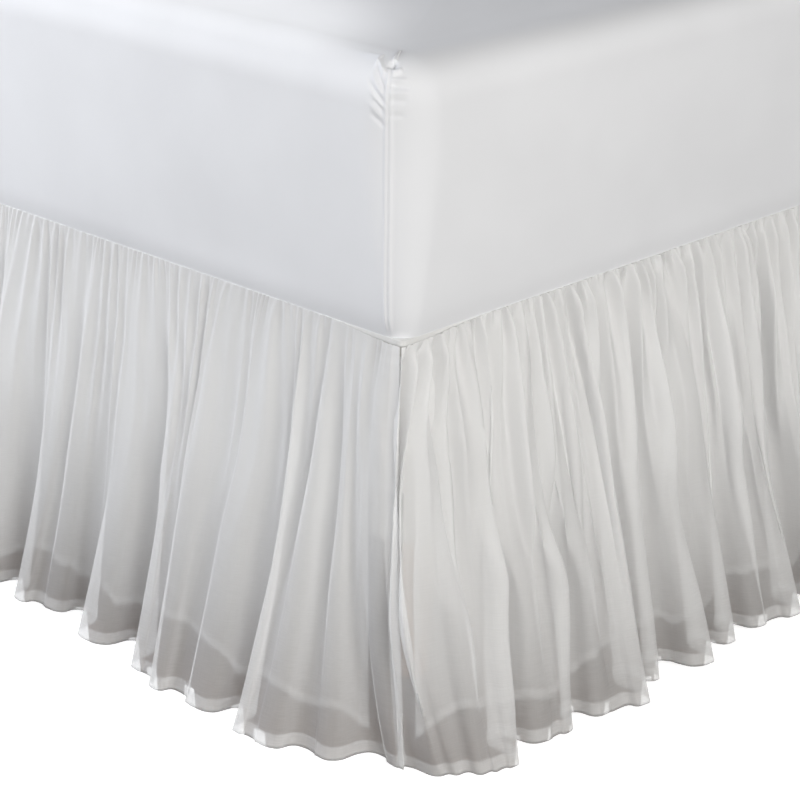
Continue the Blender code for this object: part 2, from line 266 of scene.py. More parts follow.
# Ticking: firm twill in grey with narrow pale stripes, matt. Its ribs lie about 0.5 mm apart and
# are drawn 1.6 mm apart so that they show.
tickingLook = {
    "ground": "#b9b6b1", "stripe": "#d9d6d0", "pitch": 0.018,
    "stripeWidth": 0.3,         # share of the pitch
    "thread": 0.0011,
    "waveScale": 0.3,           # of the wave pattern for each thread: it sets the ribs 1.6 mm apart
    "roughness": 0.9, "bump": 0.25,
}


def tickingMaterial(name, look):
    made, tree = newMaterial(name)
    cloth = addNode(tree, "ShaderNodeUVMap", {"uv_map": "cloth"}).outputs["UV"]
    across = addNode(tree, "ShaderNodeSeparateXYZ", None, {"Vector": cloth}).outputs["X"]
    turns = addNode(tree, "ShaderNodeMath", {"operation": "MULTIPLY", 1: 1 / look["pitch"]}, {0: across})
    part = addNode(tree, "ShaderNodeMath", {"operation": "FRACT"}, {0: turns.outputs["Value"]})
    inStripe = addNode(tree, "ShaderNodeMath", {"operation": "LESS_THAN", 1: look["stripeWidth"]},
                       {0: part.outputs["Value"]})
    twill = addNode(tree, "ShaderNodeTexWave", {
        "wave_type": "BANDS", "bands_direction": "DIAGONAL",
        "Scale": look["waveScale"] / look["thread"], "Distortion": 1.5, "Detail": 1.0},
        {"Vector": cloth})
    colour = addNode(tree, "ShaderNodeMix", {
        "data_type": "RGBA", 6: linearColour(look["ground"]), 7: linearColour(look["stripe"])},
        {0: inStripe.outputs["Value"]})
    bump = addNode(tree, "ShaderNodeBump", {"Strength": look["bump"], "Distance": 0.0005},
                   {"Height": twill.outputs["Fac"]})
    surface = addNode(tree, "ShaderNodeBsdfPrincipled", {
        "Roughness": look["roughness"], "IOR": 1.45, "Specular IOR Level": 0.3},
        {"Base Color": colour.outputs[2], "Normal": bump.outputs["Normal"]})
    addNode(tree, "ShaderNodeOutputMaterial", None, {"Surface": surface.outputs["BSDF"]})
    return made


# Beech: turned and oiled. Fine straight grain along the leg with short dark flecks, low gloss.
beechLook = {
    "light": "#c79a6b", "dark": "#9c6f43", "grain": 0.004, "fleck": 0.0012,
    "grainDrawn": 0.06, "fleckDrawn": 0.2,      # the pattern's scale along the leg, as a share
    "tones": (0.15, 0.38),      # of grain and flecks multiplied: all dark, all light
    "roughness": 0.45, "bump": 0.15,
}


def beechMaterial(name, look):
    made, tree = newMaterial(name)
    place = addNode(tree, "ShaderNodeTexCoord").outputs["Object"]
    grainPlace = addNode(tree, "ShaderNodeMapping", {
        "Scale": (1 / look["grain"], 1 / look["grain"], look["grainDrawn"] / look["grain"])},
        {"Vector": place})
    grain = addNode(tree, "ShaderNodeTexNoise", {"Scale": 1.0, "Detail": 4.0, "Distortion": 0.4},
                    {"Vector": grainPlace.outputs["Vector"]})
    fleckPlace = addNode(tree, "ShaderNodeMapping", {
        "Scale": (1 / look["fleck"], 1 / look["fleck"], look["fleckDrawn"] / look["fleck"])},
        {"Vector": place})
    flecks = addNode(tree, "ShaderNodeTexNoise", {"Scale": 1.0, "Detail": 1.0},
                     {"Vector": fleckPlace.outputs["Vector"]})
    mixed = addNode(tree, "ShaderNodeMath", {"operation": "MULTIPLY"},
                    {0: grain.outputs["Fac"], 1: flecks.outputs["Fac"]})
    dark, light = look["tones"]
    share = addNode(tree, "ShaderNodeMapRange", {"From Min": dark, "From Max": light},
                    {"Value": mixed.outputs["Value"]})
    colour = addNode(tree, "ShaderNodeMix", {
        "data_type": "RGBA", 6: linearColour(look["dark"]), 7: linearColour(look["light"])},
        {0: share.outputs["Result"]})
    bump = addNode(tree, "ShaderNodeBump", {"Strength": look["bump"], "Distance": 0.0004},
                   {"Height": mixed.outputs["Value"]})
    surface = addNode(tree, "ShaderNodeBsdfPrincipled", {
        "Roughness": look["roughness"], "IOR": 1.5, "Coat Weight": 0.1},
        {"Base Color": colour.outputs[2], "Normal": bump.outputs["Normal"]})
    addNode(tree, "ShaderNodeOutputMaterial", None, {"Surface": surface.outputs["BSDF"]})
    return made


voile = voileMaterial("cottonVoile", voileLook)
voileHem = voileMaterial("cottonVoileFoldedHem", {**voileLook, "cover": 0.44, "gathered": 0.91})
liningVoile = voileMaterial("cottonVoileLining", {**voileLook, "cover": 0.31, "gathered": 0.93,
                                                  "gatheredTo": (0.42, 0.18)})
percale = percaleMaterial("cottonPercale", percaleLook)
# painted shade: the platform sheet is the percale made greyer, so that its edge, which faces up into the
# light, looks no brighter than the skirt
shadedSheeting = percaleMaterial("cottonSheetingPaintedShade", {**percaleLook, "colour": "#dededd", "bump": 0.12})
ticking = tickingMaterial("cottonTicking", tickingLook)
beech = beechMaterial("oiledBeech", beechLook)
print("materials made")


# Each turn of a fold, in mm: how far it lies along the wall at the seam and at the hem, how far it
# bends aside halfway down, how far out it stands at the hem, and how far it bulges halfway down.
# Valleys and crests take turns, from a valley. These lie near the bed's right foot corner.
Turn = namedtuple("Turn", "top hem bend out bulge")
footTurns = [
    Turn(1, -13, -6, 9, 10), Turn(24, 2, 14, 11, 14), Turn(46, 24, 16, 5, 9),
    Turn(62, 62, -4, 55, 0), Turn(76, 80, 0, 52, -4), Turn(88, 122, -12, 82, 0),
    Turn(102, 141, -8, 79, -5), Turn(126, 160, -18, 83, 0), Turn(150, 181, -14, 38, 0),
    Turn(188, 227, -4, 79, 0), Turn(214, 268, -6, 67, -4), Turn(246, 289, 0, 84, 0),
    Turn(284, 316, 0, 66, 0), Turn(314, 341, -14, 68, 0), Turn(350, 372, -8, 16, 0),
    Turn(388, 436, -14, 62, 0), Turn(424, 484, -6, 15, 0), Turn(458, 528, -6, 43, 0),
    Turn(480, 543, -8, 41, -3), Turn(506, 566, -16, 55, 0), Turn(548, 604, -6, 17, 0),
]
sideTurns = [
    Turn(-2, -10, -14, 5, 3), Turn(34, 8, -52, 50, 0), Turn(44, 22, -32, 61, 0),
    Turn(50, 40, -20, 80, 0), Turn(70, 51, -8, 86, -8), Turn(88, 70, 0, 93, 0),
    Turn(112, 92, 0, 34, 0), Turn(144, 133, 0, 80, 0), Turn(158, 145, 2, 78, -3),
    Turn(168, 157, 6, 84, 0), Turn(190, 187, 4, 54, 0), Turn(206, 213, 4, 86, 0),
    Turn(222, 232, 2, 88, -8), Turn(246, 261, -8, 104, 0), Turn(272, 288, 0, 36, 0),
    Turn(298, 312, 2, 75, 0), Turn(320, 331, 2, 40, 0), Turn(343, 383, -6, 93, 0),
    Turn(366, 408, 2, 42, 0), Turn(386, 438, 10, 79, 0), Turn(420, 461, 6, 38, 0),
    Turn(452, 494, -6, 78, 0), Turn(478, 509, -6, 74, -4), Turn(505, 548, -10, 89, 0),
    Turn(534, 568, -4, 36, 0),
]
further = {                     # the folds past those, in mm
    "width": (62, 90), "lean": (-6, 8), "out": (56, 98), "bend": (-12, 6), "valley": (15, 42),
    "dented": 0.4,              # share of the crests that have a dent
    "spread": (0.16, 0.22),     # from the dent's middle to its sides, as a share of the width
    "dentOut": 0.9,
    "driftBack": 0.12,          # how strongly the hem is drawn back under the seam, fold by fold
    "seeds": {"foot": 11, "right": 23, "left": 37},
}
dropEnds = {                    # in mm
    "mirrored": 3,              # turns of the foot drop that it repeats at its left corner
    "repeated": 2,              # turns of the right drop that the left one repeats at its corner
    "leftValley": Turn(56, 42, -10, 30, 0),
    "footClear": 50, "sideClear": 60,       # no further fold starts nearer to the end than this
    "sideShort": 4, "sideOut": 30,          # a side drop's last turn: before the head end, and out
}


def furtherTurns(seed, start, end):
    chance = random.Random(seed)
    turns = []
    top, hem = start.top, start.hem
    while top < end:
        width = chance.uniform(*further["width"])
        lean = chance.uniform(*further["lean"]) * (end - top) / end
        hem += (width + lean + (top - hem) * further["driftBack"]) / 2
        top += width / 2
        out = chance.uniform(*further["out"])
        bend = chance.uniform(*further["bend"])
        if chance.random() < further["dented"]:
            spread = width * chance.uniform(*further["spread"])
            turns.append(Turn(top - spread, hem - spread, bend, out, 0))
            turns.append(Turn(top, hem, bend, out * further["dentOut"], 0))
            turns.append(Turn(top + spread, hem + spread, bend, out, 0))
        else:
            turns.append(Turn(top, hem, bend, out, 0))
        hem += width / 2
        top += width / 2
        turns.append(Turn(top, hem, bend / 2, chance.uniform(*further["valley"]), 0))
    return turns


def fitted(turns, fixed, end):
    # moves the turns after the fixed ones evenly, so that the last one comes to the end
    first, last = turns[fixed - 1], turns[-1]
    out = turns[:fixed]
    for turn in turns[fixed:]:
        top = first.top + (turn.top - first.top) * (end - first.top) / (last.top - first.top)
        hem = first.hem + (turn.hem - first.hem) * (end - first.hem) / (last.hem - first.hem)
        out.append(turn._replace(top=top, hem=hem))
    return out


def footDropTurns():
    width = bedWidth / mm
    lapped = [turn._replace(top=width - turn.top, hem=width - turn.hem, bend=-turn.bend)
              for turn in reversed(footTurns[:dropEnds["mirrored"]])]
    end = lapped[0].top
    middle = footTurns + furtherTurns(further["seeds"]["foot"], footTurns[-1],
                                      end - dropEnds["footClear"])
    return fitted(middle, len(footTurns), end)[:-1] + lapped


def sideDropTurns(given, seed):
    length = bedLength / mm
    turns = given + furtherTurns(seed, given[-1], length - dropEnds["sideClear"])
    turns = fitted(turns, len(given), length - dropEnds["sideShort"])
    turns[-1] = turns[-1]._replace(out=dropEnds["sideOut"], bend=0)
    return turns


liningFolds = {                 # in mm
    "startFoot": 50, "startSide": 22, "end": 6,     # how far it stops short of the voile's ends
    "edge": 4, "lastOut": 20,   # how far out its ends and its last crest stand
    "clear": 20,                # from its last end to the nearest fold
    "out": 0.42,                # how far out its crests stand, as a share of the voile's
    "behind": 7,                # how far its valleys lie behind the voile's
    "dent": 0.7,                # a valley with more than this share of its crest is only a dent
}


def liningTurns(turns, start, end):
    # one plain fold of the lining inside each loop of the voile
    kept = [Turn(start, start, 0, liningFolds["edge"], 0)]
    loop = []
    for number, turn in enumerate(turns[1:-1], 1):
        valley = number % 2 == 0
        nearEdge = (min(turn.top, turn.hem) < start
                    or max(turn.top, turn.hem) > end - liningFolds["clear"])
        if nearEdge or (valley and not loop):
            continue
        if not valley or turn.out > liningFolds["dent"] * loop[-1].out:
            loop.append(turn)
            continue
        reach = min(turn.out + turn.bulge for turn in loop) * liningFolds["out"]
        top, hem, bend = (sum(part) / len(loop) for part in list(zip(*loop))[:3])
        kept.append(Turn(top, hem, bend, reach, 0))
        behind = max(turn.out - liningFolds["behind"], liningFolds["edge"])
        kept.append(turn._replace(out=behind, bulge=0))
        loop = []
    last = kept[-1]
    kept.append(Turn((last.top + end) / 2, (last.hem + end) / 2, 0, liningFolds["lastOut"], 0))
    kept.append(Turn(end, end, 0, liningFolds["edge"], 0))
    return kept


# how the voile hangs, in metres; depths are measured down from the seam
voileFall = {
    "inset": -0.0006,           # how far inside the wall's plane it starts; here outside
    "readFlares": (0.80, 1.10),     # powers of the depth by which crests and valleys were read
    "crestFlare": {"foot": 1.80, "right": 1.40, "left": 1.40},      # and by which they stand out
    "valleyFlare": {"foot": 2.00, "right": 1.70, "left": 1.70},
    "lobe": 0.144, "lobeFlare": 1.6,    # how far a loop swells past its turns at the hem
    "hem": 0.007,               # the hem's height over the floor
    "hemLift": 0.5,             # how much it rises where it stands out, as a share of an arc's rise
    "hemWave": 0.0006, "hemWaveLength": 0.045,
    "sway": 0.0026, "swayLength": 0.21,     # a fold's wander, and over what share of the drop
    "loopFullness": 1.25,       # a loop's length against the straight way, for its columns
    "column": 0.0029, "topColumn": 0.0019, "row": 0.0060, "topRow": 0.0028, "topRows": 0.030,
    "farFrom": 0.62, "farColumns": 0.54,    # past this place on the wall, this share of the columns
    "band": 0.0135, "bandRows": 4, "sideBand": 0.015,       # the hems at the foot and at the ends
    "turnedIn": 0.0007, "hemThick": 1.3,    # how far they are turned back, and more at the foot
    "bandStep": 0.0015,         # how soon the side hems' thickness begins
    "gatherRise": {"foot": 0.70, "right": 3.4, "left": 1.3},
    # gathers: their pitch along the wall in metres, their height, the depths where they grow to
    # full height and where they die away, and how sharp their crests are, from 0 to 1
    "gathers": [
        {"pitch": 0.0088, "height": 0.0010, "grows": (-0.010, 0.001), "dies": (0.003, 0.060), "sharp": 0.2},
        {"pitch": 0.0180, "height": 0.0030, "grows": (-0.004, 0.024), "dies": (0.100, 0.340), "sharp": 0.6},
        {"pitch": 0.0380, "height": 0.0036, "grows": (0.020, 0.120), "dies": (0.240, 0.450), "sharp": 0.6},
    ],
    # how far a gather strays, in pitches, over how many pitches and, on its way down, metres
    "stray": (0.5, 2.3), "drift": (0.5, 4, 0.16),
    # its height's mean and swing, over how many pitches and metres down, and its bounds
    "fade": (0.75, 0.5, 1.2, 0.20), "fadeBounds": (0.2, 1.3),
    "dent": {"height": 0.0010, "size": (0.026, 0.085), "grows": (0.04, 0.16), "dies": (0.28, 0.42)},
    # near an end, and on a fold's flank, this share of all these is left
    "calmEnd": 0.012, "endShare": 0.25, "flankShare": 0.3,
    # puckers along the hems: their length along the hem, their depth and how far up they reach,
    # and how much higher and how far from the ends they are at the side hems
    "pucker": {"length": 0.006, "depth": 0.05, "height": 0.0004, "reach": 0.030,
               "sideHeight": 1.4, "sideReach": 0.018},
}
Layer = namedtuple("Layer", "along outward height cloth depth normalAlong normalOut")


def gatherWave(place, sharp):
    # a wave from -1 to 1 with one crest in each unit of place; sharp crests have round valleys
    soft = np.cos(2 * np.pi * place)
    crisp = 1.15 - 2.15 * np.sqrt(np.sin(np.pi * place) ** 2 + 0.005)
    return soft * (1 - sharp) + crisp * sharp


def foldPaths(turns, fall, share, seed):
    # the folds alone: how far along the wall and how far out, for each share of the drop
    top, hem, bend, out, bulge = (np.array(part, float) * mm for part in zip(*turns))
    crest = np.arange(len(turns)) % 2 == 1
    swell = 4 * share * (1 - share)
    turnAlong = top + (hem - top) * share + bend * swell
    flare = np.where(crest, share ** fall["crestFlare"], share ** fall["valleyFlare"])
    # the turns were read from the picture for fuller flares, and stay on the same lines of sight
    read = np.where(crest, share ** fall["readFlares"][0], share ** fall["readFlares"][1])
    turnAlong = turnAlong + out * (read - flare)
    # each fold wanders on its way down, by a row of its own in the noise
    for i in range(len(turns)):
        wander = softNoise(seed + 40, share / fall["swayLength"], share * 0 + 3.7 * i)
        turnAlong[:, i:i + 1] += fall["sway"] * swell * wander
    turnOut = out * flare + bulge * swell - fall["inset"]
    fullness = fall["lobe"] * share ** fall["lobeFlare"]
    along, outward = [], []
    for i in range(len(turns) - 1):
        length = fall["loopFullness"] * math.hypot(hem[i + 1] - hem[i], out[i + 1] - out[i])
        count = max(length / fall["column"], (top[i + 1] - top[i]) / fall["topColumn"])
        count = max(4, round(count * (fall["farColumns"] if top[i] > fall["farFrom"] else 1)))
        angle = np.pi * np.arange(count + (i == len(turns) - 2)) / count
        reach = angle / np.pi + fullness * np.sin(2 * angle)
        a, b = turnAlong[:, i:i + 1], turnAlong[:, i + 1:i + 2]
        along.append(a + (b - a) * reach)
        a, b = turnOut[:, i:i + 1], turnOut[:, i + 1:i + 2]
        outward.append((a + b) / 2 + (a - b) / 2 * np.cos(angle))
    return np.hstack(along), np.hstack(outward)


def smallFolds(fall, seed, wallPlace, cloth, depth, drop, facing):
    # how far gathers, dents, puckers and the side hems lift the cloth off its folds; facing is 1
    # where a fold faces outwards and 0 on its flanks
    rise = np.zeros_like(depth)
    stray, strayOver = fall["stray"]
    drift, driftOver, driftDown = fall["drift"]
    mean, swing, fadeOver, fadeDown = fall["fade"]
    for number, gather in enumerate(fall["gathers"]):
        pitch = gather["pitch"]
        place = wallPlace / pitch
        place = place + stray * softNoise(seed + number, wallPlace / (strayOver * pitch))
        place = place + drift * softNoise(seed + 10 + number, wallPlace / (driftOver * pitch),
                                          depth / driftDown)
        fade = mean + swing * softNoise(seed + 20 + number, wallPlace / (fadeOver * pitch),
                                        depth / fadeDown)
        grows = smoothStep(depth, *gather["grows"])
        dies = 1 - smoothStep(depth, *gather["dies"])
        rise += (fall["gatherRise"] * gather["height"] * gatherWave(place, gather["sharp"])
                 * np.clip(fade, *fall["fadeBounds"]) * grows * dies)
    dent = fall["dent"]
    dents = softNoise(seed + 34, cloth / dent["size"][0], depth / dent["size"][1])
    grows, dies = smoothStep(depth, *dent["grows"]), 1 - smoothStep(depth, *dent["dies"])
    rise += dent["height"] * dents * grows * dies
    ends = smoothStep(cloth, 0, fall["calmEnd"]) * smoothStep(cloth[-1] - cloth, 0, fall["calmEnd"])
    rise *= fall["endShare"] + (1 - fall["endShare"]) * ends
    rise *= fall["flankShare"] + (1 - fall["flankShare"]) * facing

    pucker = fall["pucker"]
    nearHem = np.exp(-np.abs(drop - depth) / pucker["reach"])
    puckers = softNoise(seed + 31, cloth / pucker["length"], depth / pucker["depth"])
    rise += pucker["height"] * nearHem * puckers
    bandEdges = fall["sideBand"] - fall["bandStep"], fall["sideBand"] + fall["bandStep"]
    sidePuckers = pucker["sideHeight"] * softNoise(seed + 32, depth / pucker["length"])
    for fromEdge in (cloth, cloth[-1] - cloth):
        rise += fall["hemThick"] * fall["turnedIn"] * (1 - smoothStep(fromEdge, *bandEdges))
        nearEdge = np.exp(-fromEdge / pucker["sideReach"])
        rise += pucker["height"] * nearEdge * sidePuckers
    return rise


def layerPoints(turns, fall, seam, liftAt, seed):
    # the layer's points as rows from the seam down and columns along the cloth
    drop = seam - fall["hem"]
    bandTop = drop - fall["band"]
    depths = np.concatenate([
        np.arange(0, fall["topRows"], fall["topRow"]),
        np.linspace(fall["topRows"], bandTop, int((bandTop - fall["topRows"]) / fall["row"]) + 1),
        np.linspace(bandTop, drop, fall["bandRows"] + 1)[1:]])
    share = (depths / drop)[:, None]
    along, outward = foldPaths(turns, fall, share, seed)
    cloth = runLengths(np.column_stack([along[-1], outward[-1]]))
    depth = depths[:, None] + 0 * along
    alongStep, outStep = np.gradient(along, axis=1), np.gradient(outward, axis=1)
    size = np.hypot(alongStep, outStep)
    normalAlong, normalOut = -outStep / size, alongStep / size
    rise = smallFolds(fall, seed, along[0] + 0 * along, cloth, depth, drop, np.abs(normalOut))
    along, outward = along + normalAlong * rise, outward + normalOut * rise
    lift = fall["hemLift"] * np.maximum(outward[-1], 0) ** 2 / (2 * drop)
    lift = lift + fall["hemWave"] * softNoise(seed + 33, cloth / fall["hemWaveLength"])
    height = seam + liftAt(along[:1] / mm) * (1 - share) - (drop - lift) * share
    return Layer(along, outward, height, cloth[None, :] + 0 * along, depth, normalAlong, normalOut)


def foldEdge(layer, axis, count, gap, atEnd):
    # turns the edge's last few rows or columns back behind the cloth, as in a sewn hem
    places = range(-count - 1, -1) if atEnd else range(1, count + 1)
    back = Layer(*[np.flip(np.take(grid, places, axis), axis) for grid in layer])
    back = back._replace(along=back.along - back.normalAlong * gap,
                         outward=back.outward - back.normalOut * gap)
    return Layer(*[np.concatenate([grid, turned] if atEnd else [turned, grid], axis)
                   for grid, turned in zip(layer, back)])


def hangLayer(name, wall, turns, fall, seam, liftAt, seed, materials):
    # makes the piece, and gives the points of its outer face
    layer = layerPoints(turns, fall, seam, liftAt, seed)
    sideCount = int(fall["sideBand"] / fall["column"])
    for atEnd in (False, True):
        layer = foldEdge(layer, 1, sideCount, fall["turnedIn"], atEnd)
    layer = foldEdge(layer, 0, fall["bandRows"], fall["hemThick"] * fall["turnedIn"], True)
    corner, run, out = wall
    points = np.stack([corner[0] + run[0] * layer.along + out[0] * layer.outward,
                       corner[1] + run[1] * layer.along + out[1] * layer.outward, layer.height], 2)
    facesOut = run[1] * out[0] - run[0] * out[1] > 0
    piece = gridMesh(name, points, np.stack([layer.cloth, -layer.depth], 2), facesOut, materials,
                     2 * fall["bandRows"], 2 * sideCount)
    return piece, points[:-fall["bandRows"], sideCount:-sideCount]


walls = {                       # each drop's first corner, the way it runs and the way out
    "foot": ((rightSide, footSide), (-1, 0), (0, -1)),
    "right": ((rightSide, footSide), (0, 1), (1, 0)),
    "left": ((-rightSide, footSide), (0, 1), (-1, 0)),
}
leftTurns = sideTurns[:dropEnds["repeated"]] + [dropEnds["leftValley"]]
dropTurns = {
    "foot": footDropTurns(),
    "right": sideDropTurns(sideTurns, further["seeds"]["right"]),
    "left": sideDropTurns(leftTurns, further["seeds"]["left"]),
}
lip = {                         # the deck's edge, bent down to the seam
    "drop": 0.0056,             # how far the seam lies below the deck's top at the foot corners
    "from": 20, "to": 110,      # mm from a corner: there the seam begins to rise, and reaches the top
    "lap": 0.0008,              # how far the edge goes on behind the gathers
}
seam = deckTop - lip["drop"]


def seamLift(fromCorner):
    # how far the seam lies above its height at the foot corners
    return lip["drop"] * smoothStep(fromCorner, lip["from"], lip["to"])


def footSeamLift(along):
    return seamLift(np.minimum(along, bedWidth / mm - along))


def levelSeam(along):
    return 0 * along


fronts = {}
for number, (side, wall) in enumerate(walls.items()):
    liftAt = footSeamLift if side == "foot" else seamLift
    fall = dict(voileFall)
    for setting in ("gatherRise", "crestFlare", "valleyFlare"):
        fall[setting] = voileFall[setting][side]
    piece, fronts[side] = hangLayer("ruffle." + side, wall, dropTurns[side], fall, seam, liftAt,
                                    100 * number + 7, (voile, voileHem))
    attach(piece, "root")
    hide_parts("ruffle_" + side)
print("ruffles hung")


liningFall = {
    **voileFall, "seamDrop": 0.0021,        # below the deck's top
    "gatherRise": 1.0, "inset": 0.008, "crestFlare": 1.55, "valleyFlare": 1.75, "lobe": 0.05,
    "hem": 0.037, "column": 0.0045, "topColumn": 0.0035, "row": 0.0080, "topRow": 0.004, "hemWave": 0.017,
    "band": 0.012, "bandRows": 2, "turnedIn": 0.0005,
    "gathers": [
        {"pitch": 0.0110, "height": 0.0010, "grows": (-0.010, 0.002), "dies": (0.010, 0.100), "sharp": 0.2},
        {"pitch": 0.0220, "height": 0.0022, "grows": (0.004, 0.040), "dies": (0.120, 0.700), "sharp": 0.5},
        {"pitch": 0.0460, "height": 0.0030, "grows": (0.040, 0.160), "dies": (0.500, 1.500), "sharp": 0.4},
    ],
}
liningSeam = deckTop - liningFall["seamDrop"]
for number, (side, wall) in enumerate(walls.items()):
    start = liningFolds["startFoot"] if side == "foot" else liningFolds["startSide"]
    end = bedWidth / mm - start if side == "foot" else bedLength / mm - liningFolds["end"]
    turns = liningTurns(dropTurns[side], start, end)
    piece, _ = hangLayer("lining." + side, wall, turns, liningFall, liningSeam, levelSeam,
                         100 * number + 51, (liningVoile, liningVoile))
    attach(piece, "root")
    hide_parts("lining_" + side)
print("linings hung")


def roundedPath(halfWidth, front, back, corner, counts):
    # plan outline and its outward normals, anticlockwise from the right foot corner; counts has
    # the steps round a corner, along a long side and along a short one
    points, normals = [], []
    centres = [(halfWidth - corner, front + corner), (halfWidth - corner, back - corner),
               (corner - halfWidth, back - corner), (corner - halfWidth, front + corner)]
    for number, (x, y) in enumerate(centres):
        for i in range(counts[0] + 1):
            angle = math.radians(-90 + 90 * (number + i / counts[0]))
            normals.append((math.cos(angle), math.sin(angle)))
            points.append((x + corner * normals[-1][0], y + corner * normals[-1][1]))
        a, normal = points[-1], normals[-1]
        follow = centres[(number + 1) % 4]
        b = (follow[0] + corner * normal[0], follow[1] + corner * normal[1])
        count = counts[1 + number % 2]
        for i in range(1, count):
            points.append((a[0] + (b[0] - a[0]) * i / count, a[1] + (b[1] - a[1]) * i / count))
            normals.append(normal)
    return np.array(points), np.array(normals)


def ringMesh(name, rings, cloth, material, capFirst=False):
    # closes rings of points into a skin, with the last ring capped, and the first if asked
    rings = np.concatenate([rings, rings[:, :1]], 1)
    cloth = np.concatenate([cloth, cloth[:, :1]], 1)
    cloth[:, -1, 0] = cloth[:, -2, 0] + (cloth[:, -2, 0] - cloth[:, -3, 0])
    piece = gridMesh(name, rings, cloth, False, (material,))
    bm = bmesh.new()
    bm.from_mesh(piece.data)
    bmesh.ops.remove_doubles(bm, verts=bm.verts, dist=0.000001)
    openEdges = [edge for edge in bm.edges if edge.is_boundary]
    caps = bmesh.ops.holes_fill(bm, edges=openEdges)["faces"]
    if not capFirst:
        bm.faces.remove(min(caps, key=lambda face: face.calc_center_median().z))
    bmesh.ops.recalc_face_normals(bm, faces=bm.faces)
    bm.to_mesh(piece.data)
    bm.free()
    piece.data.shade_smooth()
    return piece


mattress = {
    "corner": 0.052, "footCorner": 0.024,   # the corners' radius high up and at the foot
    "cornerRise": 0.20,         # how far up the sheet the radius grows
    "sunk": 0.0009,             # into the deck
    "bottomEdge": 0.0003, "topEdge": 0.046,     # radii of its edges
    "edgeFull": 2.4,            # how full the top edge is: 2 is round
    "tuckIn": 0.0030, "tuckRise": 0.026,    # the side's foot is drawn in, up to this height
    "sideOut": 0.0028, "sideBulge": 0.003, "crown": 0.004,
    "counts": (72, 60, 44), "sideRows": 92, "edgeRows": 56, "topRows": 22,
    "crowding": 0.35,           # how much closer the side's rows lie towards the top
    "topSpacing": 1.6, "topReach": 0.985,   # the top's rings: their spacing, and how far inwards
    "topCloth": 0.7,            # metres of sheet from the edge to the middle
    "sideWave": {"height": 0.0016, "size": (0.22, 0.16), "grows": (0.002, 0.05)},
    "topWave": {"height": 0.002, "size": 0.3, "grows": (0, 0.3)},
    "seamBack": 0.0142,         # the corner seam, behind the corner's middle on the foot face
    "seamRise": 0.0019, "seamWidth": 0.0017, "seamGrows": (0.004, 0.02),
    "besideSeam": 0.0042, "besideRise": 0.8,    # the lower ridge beside it, as a share
}


def mattressProfile(low, high):
    # (inset, height) from under the bottom edge up the side and on to the top
    power = 2 / mattress["edgeFull"]
    rows = []
    for i in range(mattress["edgeRows"] // 2 + 1):
        angle = math.pi / 2 * i / (mattress["edgeRows"] // 2)
        rows.append((mattress["bottomEdge"] * (1 - math.sin(angle)) + mattress["tuckIn"]
                     - mattress["sideOut"],
                     low + mattress["bottomEdge"] * (1 - math.cos(angle))))
    bottom, top = low + mattress["bottomEdge"], high - mattress["topEdge"]
    for i in range(1, mattress["sideRows"]):
        share = i / mattress["sideRows"]
        share += mattress["crowding"] * math.sin(math.pi * share) / math.pi
        height = bottom + (top - bottom) * share
        tuck = mattress["tuckIn"] * max(0, 1 - (height - bottom) / mattress["tuckRise"]) ** 2
        bulge = mattress["sideBulge"] * math.sin(math.pi * share)
        rows.append((tuck - mattress["sideOut"] - bulge, height))
    for i in range(mattress["edgeRows"] + 1):
        angle = math.pi / 2 * i / mattress["edgeRows"]
        rows.append((mattress["topEdge"] * (1 - math.cos(angle) ** power) - mattress["sideOut"],
                     top + mattress["topEdge"] * math.sin(angle) ** power))
    return rows


def strokeRise(along, height, strokes):
    # soft wrinkles: each runs from one point to another and fades at both ends
    rise = np.zeros_like(along)
    for alongA, heightA, alongB, heightB, width, size in strokes:
        dx, dz = alongB - alongA, heightB - heightA
        length = math.hypot(dx, dz)
        share = ((along - alongA) * dx + (height - heightA) * dz) / length ** 2
        off = ((along - alongA) * dz - (height - heightA) * dx) / length
        fade = smoothStep(share, -0.25, 0.25) * (1 - smoothStep(share, 0.7, 1.25))
        rise += size * fade * np.exp(-(off / width) ** 2)
    return rise


# wrinkles at the sheet's corner seams, in metres along the side from the seam and up the sheet
# from the mattress's foot: along, up, along, up, width, rise
cornerWrinkles = [
    (-0.0023, 0.2386, -0.016, 0.2600, 0.0018, -0.0018), (-0.0020, 0.2322, -0.019, 0.2521, 0.0019, 0.0014),
    (-0.0016, 0.2255, -0.020, 0.2443, 0.0018, -0.0018), (-0.0020, 0.2210, -0.016, 0.2353, 0.0018, 0.0012),
    (-0.0020, 0.2180, -0.011, 0.2271, 0.0016, -0.0013), (-0.0020, 0.2110, -0.016, 0.2240, 0.0022, 0.0009),
    (-0.0016, 0.2040, -0.014, 0.2140, 0.0018, -0.0014), (-0.0040, 0.2530, -0.023, 0.2680, 0.0030, 0.0034),
    (-0.0200, 0.2595, -0.027, 0.2750, 0.0020, 0.0022), (0.0045, 0.2530, 0.014, 0.2577, 0.0024, 0.0030),
    (0.0040, 0.2468, 0.019, 0.2468, 0.0020, 0.0018), (0.0040, 0.2420, 0.020, 0.2397, 0.0022, -0.0017),
    (0.0030, 0.2353, 0.020, 0.2353, 0.0026, 0.0010), (0.0030, 0.2281, 0.018, 0.2276, 0.0026, -0.0010),
    (0.0030, 0.2140, 0.016, 0.2140, 0.0022, -0.0007), (0.0010, 0.2590, 0.003, 0.2680, 0.0042, -0.0060),
]


